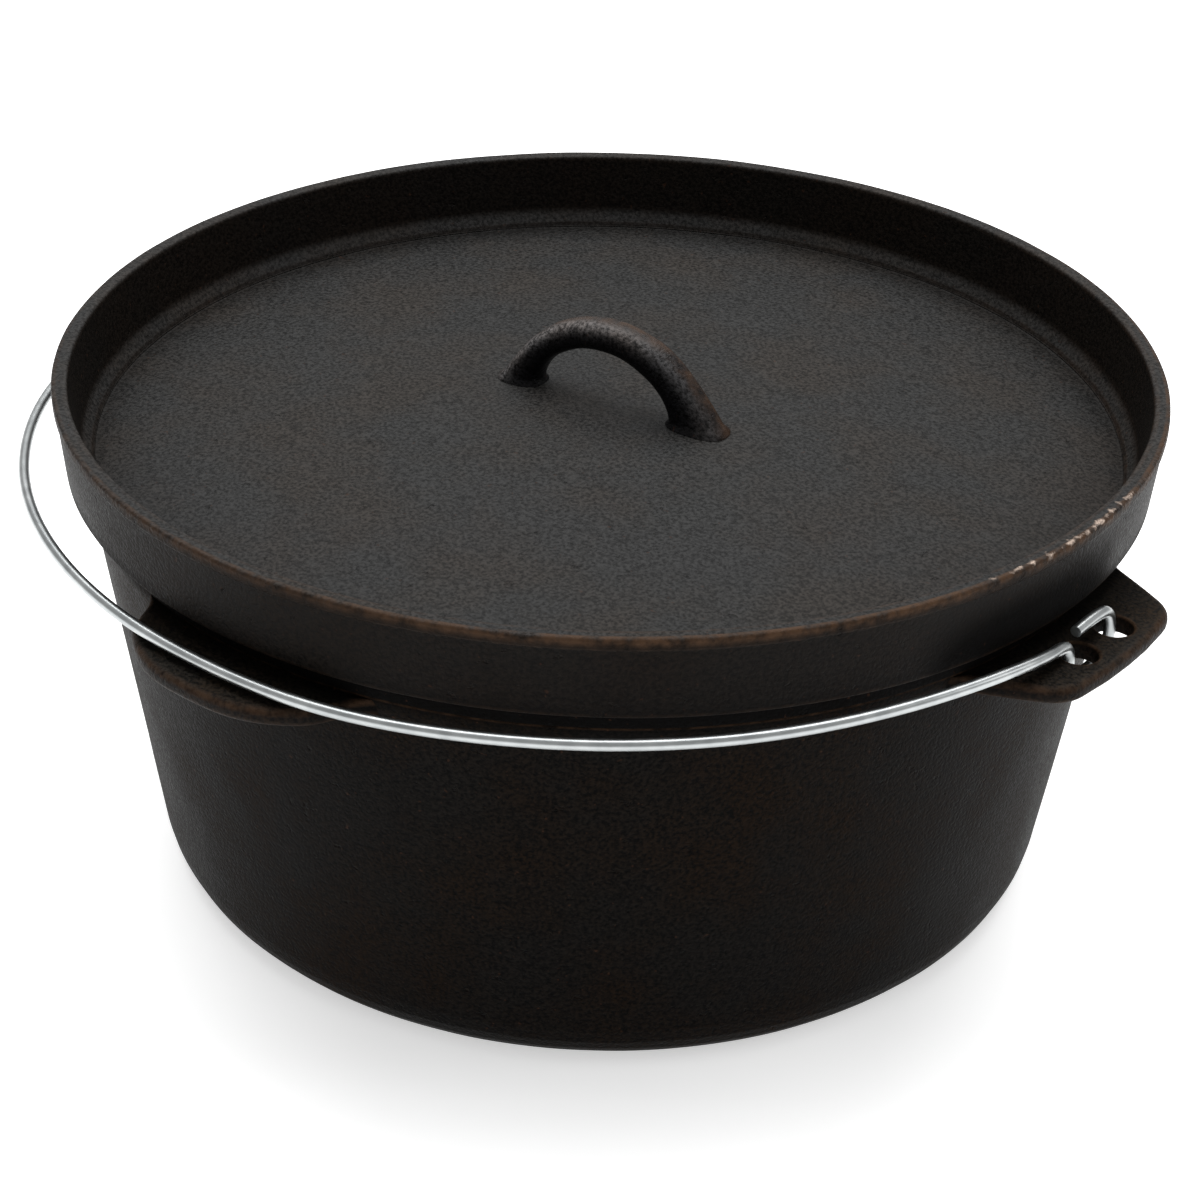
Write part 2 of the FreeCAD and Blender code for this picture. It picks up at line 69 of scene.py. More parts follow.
half_table = 12.0
table_corners = [(-half_table, -half_table, 0), (half_table, -half_table, 0),
                 (half_table, half_table, 0), (-half_table, half_table, 0)]
table_mesh = bpy.data.meshes.new("table_top")
table_mesh.from_pydata(table_corners, [], [(0, 1, 2, 3)])
table_mesh.materials.append(matt_paper("table_paper", colour=(0.93, 0.93, 0.93), glow=0.50))
table_top = bpy.data.objects.new("table_top", table_mesh)
bpy.context.scene.collection.objects.link(table_top)

sky = bpy.data.worlds.new("studio")
sky.use_nodes = True
sky.node_tree.nodes["Background"].inputs["Color"].default_value = (1.0, 1.0, 1.0, 1.0)
sky.node_tree.nodes["Background"].inputs["Strength"].default_value = 0.47
bpy.context.scene.world = sky


def soft_light(name, place, aim, width, height, power):
    """An oblong light that faces a point."""
    lamp = bpy.data.lights.new(name, "AREA")
    lamp.shape = "RECTANGLE"
    lamp.size = width
    lamp.size_y = height
    lamp.energy = power
    holder = bpy.data.objects.new(name, lamp)
    holder.location = place
    holder.rotation_euler = (Vector(aim) - Vector(place)).to_track_quat("-Z", "Y").to_euler()
    bpy.context.scene.collection.objects.link(holder)


oven_middle = (0, 0, 0.1)
soft_light("overhead_light", (-0.45, 0.6, 2.2), oven_middle, width=2.7, height=2.5, power=86)
soft_light("right_light", (1.7, 0.9, 1.1), oven_middle, width=0.7, height=0.7, power=3.5)

photo_camera = bpy.data.cameras.new("photo_camera")
photo_camera.sensor_width = 36.0
photo_camera.lens = 82.6
camera = bpy.data.objects.new("photo_camera", photo_camera)
camera.location = (0.5220, -0.6682, 0.5799)
camera_aim = Vector((-0.0015, -0.0012, 0.0828))
camera_roll = math.radians(1.4)
camera.rotation_mode = "QUATERNION"
camera.rotation_quaternion = (
    (camera_aim - camera.location).to_track_quat("-Z", "Y")
    @ Quaternion((0, 0, 1), camera_roll))
bpy.context.scene.collection.objects.link(camera)
bpy.context.scene.camera = camera
bpy.context.scene.view_settings.view_transform = "Standard"


# The pot: one sand casting in grey iron, with a plain tapered wall that turns into a flat base.
# The oil baked on in seasoning leaves it nearly black, browner outside, with the sand's fine
# grain showing through.
def softened(corners, closed, steps=6):
    """An outline whose corners (across, up, round, worn) are rounded off."""
    points = []
    count = len(corners)
    for index, (across, up, size, worn) in enumerate(corners):
        here = Vector((across, up))
        if size == 0 or (not closed and index in (0, count - 1)):
            points.append((across, up, worn))
            continue
        before = Vector(corners[index - 1][:2])
        after = Vector(corners[(index + 1) % count][:2])
        start = here + (before - here).normalized() * size
        stop = here + (after - here).normalized() * size
        for step in range(steps + 1):
            part = step / steps
            point = start * (1 - part) ** 2 + here * 2 * part * (1 - part) + stop * part ** 2
            points.append((point.x, point.y, worn))
    return points


def filled_in(outline, pitch, margin=0.0006):
    """The outline with more points along its long runs, and one close to each end of them."""
    points = [outline[0]]
    for last, following in zip(outline, outline[1:]):
        start, stop = Vector(last[:2]), Vector(following[:2])
        length = (stop - start).length
        if length > 3 * margin:
            count = max(1, math.ceil(length / pitch))
            places = [margin / length] + [n / count for n in range(1, count)]
            places.append(1 - margin / length)
            for place in places:
                between = start.lerp(stop, place)
                points.append((between.x, between.y, 0.0))
        points.append(following)
    return points


def turned(name, outline, around):
    """A casting turned about the upright axis from an outline that starts and ends on it."""
    mesh = bpy.data.meshes.new(name)
    form = bmesh.new()
    worn_layer = form.verts.layers.float.new("worn")
    rings = []
    for radius, height, worn in outline:
        ring = []
        for step in range(around if radius > 0 else 1):
            angle = 2 * math.pi * step / around
            place = (radius * math.cos(angle), radius * math.sin(angle), height)
            corner = form.verts.new(place)
            corner[worn_layer] = worn
            ring.append(corner)
        rings.append(ring)
    for lower, upper in zip(rings, rings[1:]):
        for step in range(around):
            following = (step + 1) % around
            if len(lower) == 1:
                form.faces.new((lower[0], upper[step], upper[following]))
            elif len(upper) == 1:
                form.faces.new((lower[step], lower[following], upper[0]))
            else:
                form.faces.new((lower[step], lower[following], upper[following], upper[step]))
    bmesh.ops.recalc_face_normals(form, faces=form.faces)
    form.to_mesh(mesh)
    form.free()
    mesh.shade_smooth()
    return mesh


def as_cast(mesh, wave, depth):
    """Lets the surface wander inwards a little, as a mould's wall does."""
    steadiness, finer_by, layers = 1.0, 2.0, 3
    mean_share = 0.5
    wander_share = 0.45
    mesh.update()
    moves = []
    for corner in mesh.vertices:
        swell = noise.fractal(corner.co / wave, steadiness, finer_by, layers)
        wander = wander_share * max(-1, min(1, swell))
        moves.append(corner.normal * (depth * (wander - mean_share)))
    for corner, move in zip(mesh.vertices, moves):
        corner.co += move
    mesh.update()


def placed(name, mesh, material, body):
    """An object of the oven that rides on its body."""
    piece = bpy.data.objects.new(name, mesh)
    bpy.context.scene.collection.objects.link(piece)
    mesh.materials.append(material)
    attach(piece, body)
    return piece


def facing_up(mesh, least=0.35, most=0.95):
    """Notes on each point how far it faces up, where dust settles and the oil film is drier and
    paler; that paleness also serves as painted top light.
    """
    pale_and_lit = mesh.attributes.new("pale_and_lit", "FLOAT", "POINT")
    for corner, entry in zip(mesh.vertices, pale_and_lit.data):
        share = (corner.normal.z - least) / (most - least)
        entry.value = max(0.0, min(1.0, share))


def paint_shade(mesh, share_at):
    """Notes on each point how much painted shade lies there, from 0 to 1."""
    painted_shade = mesh.attributes.new("painted_shade", "FLOAT", "POINT")
    for corner, entry in zip(mesh.vertices, painted_shade.data):
        entry.value = max(0.0, min(1.0, share_at(corner)))


def seasoned_iron(name, oiled, pale_and_lit_colour, shine, smooth, grain_depth, contrast, browning):
    """Seasoned cast iron: a black oiled film, duller and paler where it is drier, that paleness
    partly painted top light, over sand grain, with uneven browning, painted shade in the corners
    and under the lid, rubbed brown edges and chips down to bare metal."""
    iron = bpy.data.materials.new(name)
    iron.use_nodes = True
    nodes, links = iron.node_tree.nodes, iron.node_tree.links
    shader = nodes["Principled BSDF"]
    place = nodes.new("ShaderNodeTexCoord")

    def noted(layer):
        entry = nodes.new("ShaderNodeAttribute")
        entry.attribute_name = layer
        return entry.outputs["Fac"]

    def cloud(scale, detail, roughness=0.55):
        cloudy = nodes.new("ShaderNodeTexNoise")
        cloudy.inputs["Scale"].default_value = scale
        cloudy.inputs["Detail"].default_value = detail
        cloudy.inputs["Roughness"].default_value = roughness
        links.new(place.outputs["Object"], cloudy.inputs["Vector"])
        return cloudy.outputs["Fac"]

    def stretch(value, low, high, to_low=0.0, to_high=1.0):
        span = nodes.new("ShaderNodeMapRange")
        span.inputs["From Min"].default_value = low
        span.inputs["From Max"].default_value = high
        span.inputs["To Min"].default_value = to_low
        span.inputs["To Max"].default_value = to_high
        links.new(value, span.inputs["Value"])
        return span.outputs["Result"]

    def join(operation, first, second):
        joined = nodes.new("ShaderNodeMath")
        joined.operation = operation
        links.new(first, joined.inputs[0])
        if isinstance(second, float):
            joined.inputs[1].default_value = second
        else:
            links.new(second, joined.inputs[1])
        return joined.outputs["Value"]

    def mix(kind, share, first, second):
        mixed = nodes.new("ShaderNodeMix")
        mixed.data_type = "RGBA"
        mixed.blend_type = kind
        if isinstance(share, float):
            mixed.inputs["Factor"].default_value = share
        else:
            links.new(share, mixed.inputs["Factor"])
        sockets = [socket for socket in mixed.inputs if socket.type == "RGBA"]
        for socket, colour in zip(sockets, (first, second)):
            if isinstance(colour, tuple):
                socket.default_value = (*colour, 1.0)
            else:
                links.new(colour, socket)
        return next(socket for socket in mixed.outputs if socket.type == "RGBA")

    painted_shade = noted("painted_shade")
    grain = cloud(scale=800.0, detail=2.0, roughness=0.6)
    pebble = cloud(scale=300.0, detail=2.0)
    patch = cloud(scale=24.0, detail=5.0)
    fleck = cloud(scale=520.0, detail=1.0)
    scuff = cloud(scale=210.0, detail=4.0)
    nick = cloud(scale=290.0, detail=3.0)

    brown_tint = (1.45, 1.0, 0.66)
    painted_shade_tint = (0.14, 0.14, 0.14)
    rust = (0.050, 0.022, 0.012)
    rubbed_iron = (0.070, 0.038, 0.021)
    bare_iron = (0.33, 0.26, 0.215)
    # The paler film on upward faces and on the handle's crest is partly real wear and partly
    # painted top light and highlight.
    film = mix("MIX", noted("pale_and_lit"), oiled, pale_and_lit_colour)
    browned = mix("MULTIPLY", stretch(patch, 0.42, 0.64, to_high=browning), film, brown_tint)
    # Painted shade: the colour darkens to near black where the shade layer is set, under the lid's
    # skirt, at the tabs' roots and by the wire's tail.
    shaded = mix("MULTIPLY", painted_shade, browned, painted_shade_tint)
    speckle = stretch(grain, 0.36, 0.64, 1.0 - contrast, 1.0 + contrast)
    speckled = mix("MULTIPLY", 1.0, shaded, speckle)
    rusty = mix("MIX", stretch(fleck, 0.72, 0.80, to_high=0.35), speckled, rust)
    rubbed = join("MULTIPLY", noted("worn"), stretch(scuff, 0.36, 0.62, to_low=0.15))
    edged = mix("MIX", join("MULTIPLY", rubbed, 0.85), rusty, rubbed_iron)
    chipped = stretch(join("MULTIPLY", noted("chips"), nick), 0.45, 0.58)
    bared = mix("MIX", chipped, edged, bare_iron)
    links.new(bared, shader.inputs["Base Color"])

    patch_dull = stretch(patch, 0.3, 0.7, smooth - 0.05, smooth + 0.06)
    grain_dull = stretch(grain, 0.3, 0.8, -0.10, 0.12)
    dull = join("ADD", patch_dull, grain_dull)
    links.new(join("ADD", dull, join("MULTIPLY", painted_shade, 0.3)), shader.inputs["Roughness"])
    links.new(join("MULTIPLY", chipped, 0.6), shader.inputs["Metallic"])
    shader.inputs["Specular IOR Level"].default_value = shine

    height = join("ADD", grain, join("MULTIPLY", pebble, 0.2))
    pitted = join("ADD", height, stretch(scuff, 0.24, 0.34, -1.4, 0.0))
    nicked = join("ADD", pitted, join("MULTIPLY", chipped, -1.5))
    relief = nodes.new("ShaderNodeBump")
    relief.inputs["Strength"].default_value = 0.8
    relief.inputs["Distance"].default_value = grain_depth
    links.new(nicked, relief.inputs["Height"])
    links.new(relief.outputs["Normal"], shader.inputs["Normal"])
    return iron


# The pot's box reaches the rim at the back, where it has no tab.
pot_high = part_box("pot")[1]
rim_radius = pot_high.y
pot_height = pot_high.z
wall_lean = 0.0201
base_radius = rim_radius - wall_lean
wall_slope = (rim_radius - base_radius) / pot_height
wall = 0.005
floor_top = 0.0055
base_round = 0.0165
floor_round = 0.0125
rim_break = 0.0008
inner_foot = base_radius + floor_top * wall_slope - wall
inner_rim = rim_radius - wall
pot_outline = softened([
    (0, 0, 0, 0),
    (base_radius, 0, base_round, 0),
    (rim_radius, pot_height, rim_break, 0.3),
    (inner_rim, pot_height, rim_break, 0.8),
    (inner_foot, floor_top, floor_round, 0),
    (0, floor_top, 0, 0),
], closed=False)


def rim_shade(corner):
    """Painted shade on the last millimetres below the rim, where the lid sits close."""
    shade_depth = 0.003
    fade = 0.002
    most = 0.8
    return most * (corner.co.z - pot_height + shade_depth) / fade


wall_iron = seasoned_iron(
    "wall_iron", oiled=(0.0036, 0.0030, 0.0025), pale_and_lit_colour=(0.0050, 0.0045, 0.0040), shine=0.024,
    smooth=0.50, grain_depth=0.0004, contrast=0.90, browning=1.0)
pot_mesh = turned("pot_wall", filled_in(pot_outline, pitch=0.005), around=320)
as_cast(pot_mesh, wave=0.045, depth=0.0003)
facing_up(pot_mesh)
paint_shade(pot_mesh, rim_shade)
pot_wall = placed("pot_wall", pot_mesh, wall_iron, "pot")
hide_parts("pot")


# The bail ears and the rest tab: flat plates cast with the pot just under its rim, with rounded
# edges and a small fillet where they grow out of the wall. Each ear has two cast holes and a
# bridge between them.
tab_drop = 0.0012
tab_thickness = 0.006
tab_edge = 0.0024
tab_top = pot_height - tab_drop
tab_bottom = tab_top - tab_thickness
tab_root = base_radius + wall_slope * tab_bottom
flat_margin = 0.0006


def inset(outline, distance):
    """The closed outline drawn in by a distance, which runs out where it enters the wall."""
    run_out = 0.004
    moved = []
    for index, point in enumerate(outline):
        before, after = outline[index - 1], outline[(index + 1) % len(outline)]
        along = (after - before).normalized()
        share = max(0.0, min(1.0, (point.length - tab_root) / run_out))
        moved.append(point + Vector((-along.y, along.x)) * distance * share)
    return moved


def add_loop(form, layer, outline, height, worn):
    """Puts an outline into the form at one height, and gives back its corners."""
    loop = []
    for point in outline:
        corner = form.verts.new((point.x, point.y, height))
        corner[layer] = worn
        loop.append(corner)
    return loop


def join_loops(form, lower, upper):
    """A band of faces between two loops with as many corners each."""
    count = len(lower)
    for step in range(count):
        following = (step + 1) % count
        form.faces.new((lower[step], lower[following], upper[following], upper[step]))


def cap(form, loops):
    """A flat face between an outer loop and the hole loops inside it."""
    edges = []
    for loop in loops:
        for step, corner in enumerate(loop):
            edges.append(form.edges.get((corner, loop[(step + 1) % len(loop)])))
    bmesh.ops.triangle_fill(form, use_beauty=True, use_dissolve=False, edges=edges)


def tab_outline(reach, nose_width, root_width, nose_round, root_round):
    """A tab's outline along +X: an arc about the pot's axis for its nose, sides that flare out
    along the wall, and a heel inside the wall."""
    nose = rim_radius + reach
    nose_angle = math.asin(nose_width / 2 / nose)
    corners = []
    for part in (-1, -0.35, 0, 0.35, 1):
        angle = nose_angle * part
        size = nose_round * 0.62 if abs(part) == 1 else 0
        corners.append((nose * math.cos(angle), nose * math.sin(angle), size, 0))

    flare_start = rim_radius + root_round * 1.8
    flare_middle = rim_radius + 0.0022
    flare_end = tab_root - 0.0008
    flare = []
    for radius, widening, rounding in (
            (flare_start, 0.1, 0.6), (flare_middle, 0.9, 0.4), (flare_end, 1.6, 0)):
        half_width = root_width / 2 + root_round * widening
        across = math.sqrt(radius ** 2 - half_width ** 2)
        flare.append((across, half_width, root_round * rounding, 0))
    corners += flare

    heel = rim_radius - 0.65 * wall
    heel_angle = math.asin(half_width / heel)
    for part in (1, 0.6, 0.2, -0.2, -0.6, -1):
        angle = heel_angle * part
        corners.append((heel * math.cos(angle), heel * math.sin(angle), 0, 0))
    corners += [(across, -up, size, worn) for across, up, size, worn in reversed(flare)]
    return [Vector(point[:2]) for point in softened(corners, closed=True)]


def tab_levels(quarter_steps=6):
    """The loops of a tab from its flat underside to its flat top: how far in, how high, how worn.
    The upper edge is rubbed twice as much as the lower one."""
    under_wear = 0.25
    under = []
    for step in range(quarter_steps + 1):
        turn = math.pi / 2 * step / quarter_steps
        away = tab_edge * (1 - math.sin(turn))
        lift = tab_edge * (1 - math.cos(turn))
        under.append((away, tab_bottom + lift, under_wear * math.sin(2 * turn)))
    middle = (0.0, (tab_bottom + tab_top) / 2, 0.0)
    over = [(away, tab_bottom + tab_top - height, 2 * worn) for away, height, worn in under]
    margin = tab_edge + flat_margin
    return [(margin, tab_bottom, 0.0)] + under + [middle] + over[::-1] + [(margin, tab_top, 0.0)]


def hole_sides(form, layer, centre, radius, edge, around=40):
    """The loops of a cast hole from the underside up, with a small break at both edges."""
    under_wear = 0.3
    top_wear = 0.6
    slope = edge / 3
    loops = []
    for away, height, worn in (
            (edge + flat_margin, tab_bottom, 0.0),
            (edge, tab_bottom, under_wear),
            (slope, tab_bottom + slope, under_wear),
            (0, tab_bottom + edge, 0.0),
            (0, tab_top - edge, 0.0),
            (slope, tab_top - slope, top_wear),
            (edge, tab_top, top_wear),
            (edge + flat_margin, tab_top, 0.0)):
        circle = []
        for step in range(around):
            angle = 2 * math.pi * step / around
            spoke = Vector((math.cos(angle), math.sin(angle)))
            circle.append(Vector(centre) + spoke * (radius + away))
        loops.append(add_loop(form, layer, circle, height, worn))
    for lower, higher in zip(loops, loops[1:]):
        join_loops(form, lower, higher)
    return loops


def root_fillet(form, half_angle, half_rows=16, quarter_steps=6):
    """The fillet between a tab's underside and the wall, which dies away at both its ends."""
    fillet = 0.0045
    least = 0.0002
    sunk_in = 0.0003
    rows = []
    for step in range(2 * half_rows + 1):
        side = -1 + step / half_rows
        size = fillet * (1 - abs(side) ** 6) + least
        angle = half_angle * side
        row = []
        for turn_step in range(quarter_steps + 1):
            turn = math.pi / 2 * turn_step / quarter_steps
            out = tab_root - sunk_in + size * (1 - math.sin(turn))
            height = tab_bottom + least - size * (1 - math.cos(turn))
            row.append(form.verts.new((out * math.cos(angle), out * math.sin(angle), height)))
        rows.append(row)
    for left, right in zip(rows, rows[1:]):
        for step in range(quarter_steps):
            form.faces.new((left[step], left[step + 1], right[step + 1], right[step]))


def tab_mesh(name, reach, nose_width, root_width, nose_round, root_round, holes):
    """A whole tab along +X, with its holes given as (centre, radius, edge)."""
    form = bmesh.new()
    layer = form.verts.layers.float.new("worn")
    outline = tab_outline(reach, nose_width, root_width, nose_round, root_round)
    loops = []
    for away, height, worn in tab_levels():
        loops.append(add_loop(form, layer, inset(outline, away), height, worn))
    for lower, higher in zip(loops, loops[1:]):
        join_loops(form, lower, higher)
    pierced = [hole_sides(form, layer, *hole) for hole in holes]
    cap(form, [loops[0]] + [sides[0] for sides in pierced])
    cap(form, [loops[-1]] + [sides[-1] for sides in pierced])
    root_fillet(form, math.asin((root_width / 2 + root_round * 0.3) / rim_radius))

    bmesh.ops.recalc_face_normals(form, faces=form.faces)
    mesh = bpy.data.meshes.new(name)
    form.to_mesh(mesh)
    form.free()
    mesh.shade_smooth()
    facing_up(mesh)
    # Painted shade on the tab, darkest at the wall under the skirt and the wire, fading out towards
    # the nose.
    root_shade = 0.95
    paint_shade(mesh, lambda corner: root_shade - (corner.co.xy.length - rim_radius) / reach)
    return mesh


tab_iron = seasoned_iron(
    "tab_iron", oiled=(0.0070, 0.0056, 0.0046), pale_and_lit_colour=(0.0120, 0.0108, 0.0090), shine=0.055,
    smooth=0.52, grain_depth=0.00045, contrast=0.80, browning=0.8)
bail_low, bail_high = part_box("bail")
wire_radius = 0.0019
eye_across = bail_high.x - wire_radius
hole_radius = 0.0062
hole_edge = 0.0008
bridge = 0.009
ear_holes = [((eye_across, side * (bridge / 2 + hole_radius)), hole_radius, hole_edge)
             for side in (-1, 1)]
for name, turn in (("right_ear", 0), ("left_ear", math.pi)):
    ear = tab_mesh(name, reach=0.0272, nose_width=0.064, root_width=0.077, nose_round=0.013,
                   root_round=0.008, holes=ear_holes)
    ear.transform(Matrix.Rotation(turn, 4, "Z"))
    placed(name, ear, tab_iron, "pot")
rest_tab = tab_mesh("rest_tab", reach=0.0237, nose_width=0.044, root_width=0.074,
                    nose_round=0.020, root_round=0.008, holes=[])
rest_tab.transform(Matrix.Rotation(-math.pi / 2, 4, "Z"))
placed("rest_tab", rest_tab, tab_iron, "pot")


# The lid: a second casting, a shallow dome inside a tall leaning rim that holds coals. The rim's
# thick top is rubbed brown, with chips where it has been knocked, and a spigot below finds the pot.
seat = pot_height
ring_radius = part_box("lid")[1].x
ring_top = seat + 0.036
lip_bottom = ring_top - 0.0038
floor_edge = seat + 0.0088
dome_rise = 0.009
plate = 0.005
spigot_gap = 0.0014
spigot_draft = 0.0007
spigot_wall = 0.0055
spigot_lean = 0.0012
spigot_foot = seat - 0.005
spigot_outer = inner_rim - spigot_gap - spigot_draft
spigot_inner = spigot_outer - spigot_wall
neck_radius = rim_radius + 0.0007
bevel_top = ring_radius - 0.0089
crease = bevel_top - 0.0039


def dome(radius, edge, edge_height):
    """A point of the shallow dome that rises from an edge circle to its middle."""
    return (radius, edge_height + dome_rise * (1 - (radius / edge) ** 2), 0, 0)


under_dome = [dome(spigot_inner * n / 8, spigot_inner, floor_edge - plate) for n in range(8)]
floor_dome = [dome(crease * n / 10, crease, floor_edge) for n in range(9, -1, -1)]
spigot_corners = [
    (spigot_inner, floor_edge - plate, 0.001, 0),
    (spigot_inner + spigot_lean, spigot_foot, 0.0005, 0),
    (spigot_outer - spigot_lean, spigot_foot, 0.0005, 0.3),
    (spigot_outer, seat - 0.0038, 0.0005, 0),
    (spigot_outer, seat, 0.0006, 0),
]
neck_corners = [
    (neck_radius, seat, 0.0004, 0),
    (neck_radius, seat + 0.0066, 0.0008, 0),
    (ring_radius - 0.0030, seat + 0.0073, 0.0012, 0.15),
]
ring_corners = [
    (ring_radius - 0.0007, lip_bottom - 0.0007, 0.0004, 0),
    (ring_radius, lip_bottom, 0.0006, 0.2),
    (ring_radius, ring_top, 0.0015, 1.0),
    (ring_radius - 0.0056, ring_top, 0.0015, 0.25),
    (bevel_top, floor_edge + 0.0057, 0.0016, 0.1),
    (bevel_top - 0.0035, floor_edge + 0.0014, 0.0010, 0.25),
    (crease, floor_edge, 0.0008, 0),
]
lid_outline = softened(
    under_dome + spigot_corners + neck_corners + ring_corners + floor_dome, closed=False)
lid_iron = seasoned_iron(
    "lid_iron", oiled=(0.0056, 0.0045, 0.0037), pale_and_lit_colour=(0.0228, 0.0228, 0.0226), shine=0.047,
    smooth=0.50, grain_depth=0.0004, contrast=0.55, browning=0.25)
lid_mesh = turned("lid_plate", filled_in(lid_outline, pitch=0.004), around=384)
as_cast(lid_mesh, wave=0.04, depth=0.0003)
facing_up(lid_mesh, least=0.25, most=0.90)

# Bearings are in degrees, anticlockwise from the right ear.
knock_bearing, knock_spread = -3, 21
knock_reach = 0.0060
knocked_edge = ring_radius - 0.0012
rub_bearing = -25
crease_shade = 0.55
crease_fade = 0.012
knocks = lid_mesh.attributes.new("chips", "FLOAT", "POINT")
rubbed_edge = lid_mesh.attributes["worn"].data
pale_and_lit_film = lid_mesh.attributes["pale_and_lit"].data
for corner in lid_mesh.vertices:
    bearing = math.degrees(math.atan2(corner.co.y, corner.co.x))
    radius = corner.co.xy.length
    near = max(0.0, 1 - abs(bearing - knock_bearing) / knock_spread)
    from_edge = math.hypot(radius - knocked_edge, corner.co.z - ring_top)
    knocks.data[corner.index].value = min(1.0, 2 * near) * max(0.0, 1 - from_edge / knock_reach)
    rub = math.cos(math.radians(bearing - rub_bearing) / 2) ** 4
    rubbed_edge[corner.index].value *= 0.15 + 0.85 * rub
    # Painted shade: the pale film on the dome fades out towards the crease beside the rim wall.
    if radius < crease + 0.001 and corner.normal.z > 0.5:
        shade = crease_shade * math.exp((radius - crease) / crease_fade)
        pale_and_lit_film[corner.index].value *= 1 - shade


def lid_shade(corner):
    """Painted shade round the neck under the skirt, and on the wall by the wire's tail."""
    wall_inside = ring_radius - 0.004
    neck_top = seat + 0.0072
    skirt_bottom, skirt_fade = seat + 0.0066, 0.007
    tail_bearing, tail_spread = -8, 15
    tail_top, tail_fade = ring_top - 0.006, 0.009
    radius = corner.co.xy.length
    if radius < wall_inside:
        return 1.0 if radius > spigot_outer and corner.co.z < neck_top else 0.0
    by_skirt = 0.7 * (0.9 - (corner.co.z - skirt_bottom) / skirt_fade)
    aside = (math.degrees(math.atan2(corner.co.y, corner.co.x)) - tail_bearing) / tail_spread
    if abs(aside) >= 1:
        return by_skirt
    return max(by_skirt, (1 - aside ** 2) * (tail_top - corner.co.z) / tail_fade)


paint_shade(lid_mesh, lid_shade)
lid_plate = placed("lid_plate", lid_mesh, lid_iron, "lid")
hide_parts("lid")


# The loop handle: a bar cast in one arch on the middle of the lid. Hands and lid hooks have
# polished its front crest, which is also painted pale as a highlight, its back is browner, and its
# feet swell a little into the dome.
handle_turn = math.radians(7.0)
dome_top = floor_edge + dome_rise
handle_height = 0.030
handle_half = 0.041
bar = 0.0112
leg = 0.013
grip_shift = -0.0018
half_deep_at_foot = 0.0066
depth_taper = 0.022
section_power = 2 / 2.5
foot_swell = 0.0011
swell_height = 0.0016
left_spread, right_spread, inner_spread = 0.0024, 0.0042, 0.0022
spread_height = 0.013
crest_turn = math.radians(42)
back_turn = math.radians(25)


def arch_reach(angle, half_span, height, shift=0.0):
    """How far an arch over a span is from the middle of its base, along a ray at an angle."""
    radius = (half_span ** 2 + height ** 2) / (2 * height)
    ray = Vector((math.cos(angle), math.sin(angle)))
    along = ray.dot(Vector((shift, height - radius)))
    return along + math.sqrt(along ** 2 + radius ** 2 - (radius - height) ** 2 - shift ** 2)


handle_form = bmesh.new()
worn_layer = handle_form.verts.layers.float.new("worn")
pale_and_lit_layer = handle_form.verts.layers.float.new("pale_and_lit")
sections = 80
sunk_sections = 2
sunk_step = 0.0008
corners_round = 40
handle_rings = []
for step in range(-sunk_sections, sections + sunk_sections + 1):
    angle = math.pi * min(max(step, 0), sections) / sections
    sunk = sunk_step * max(-step, step - sections, 0)
    outer = arch_reach(angle, handle_half, handle_height)
    inner = arch_reach(angle, handle_half - leg, handle_height - bar, grip_shift)
    height = (inner + outer) / 2 * math.sin(angle)
    spread = max(0.0, 1 - height / spread_height) ** 2
    outer += spread * (right_spread if angle < math.pi / 2 else left_spread)
    inner -= spread * inner_spread
    middle_reach = (inner + outer) / 2
    near_dome = max(0.0, swell_height - height) / swell_height
    swell = foot_swell * (1 - math.sqrt(max(0.0, 1 - near_dome ** 2)))
    half_thick = (outer - inner) / 2 + swell
    half_deep = half_deep_at_foot - depth_taper * height + swell
    ray = Vector((math.cos(angle), 0, math.sin(angle)))
    ring = []
    for turn_step in range(corners_round):
        turn = 2 * math.pi * turn_step / corners_round
        cosine, sine = math.cos(turn), math.sin(turn)
        along = half_thick * math.copysign(abs(cosine) ** section_power, cosine)
        across = half_deep * math.copysign(abs(sine) ** section_power, sine)
        place = ray * (middle_reach + along) + Vector((0, across, -sunk))
        corner = handle_form.verts.new(place)
        # The front crest gets the pale film: polish, and a painted highlight along it.
        crest = max(0.0, math.cos(turn + crest_turn)) ** 7
        corner[pale_and_lit_layer] = crest * (0.25 + 0.75 * math.sin(angle / 1.35 - 0.1) ** 2)
        corner[worn_layer] = 0.65 * max(0.0, math.cos(turn - back_turn)) * (1 - crest)
        ring.append(corner)
    handle_rings.append(ring)
for left, right in zip(handle_rings, handle_rings[1:]):
    join_loops(handle_form, left, right)
handle_form.faces.new(handle_rings[0])
handle_form.faces.new(handle_rings[-1])
bmesh.ops.recalc_face_normals(handle_form, faces=handle_form.faces)
handle_mesh = bpy.data.meshes.new("lid_handle")
handle_form.to_mesh(handle_mesh)
handle_form.free()
handle_mesh.shade_smooth()
as_cast(handle_mesh, wave=0.012, depth=0.0005)
handle_mesh.transform(
    Matrix.Translation((0, 0, dome_top)) @ Matrix.Rotation(handle_turn, 4, "Z"))
handle_iron = seasoned_iron(
    "handle_iron", oiled=(0.0028, 0.0027, 0.0033), pale_and_lit_colour=(0.090, 0.087, 0.088), shine=0.12,
    smooth=0.42, grain_depth=0.0004, contrast=0.75, browning=0.3)
placed("lid_handle", handle_mesh, handle_iron, "lid")


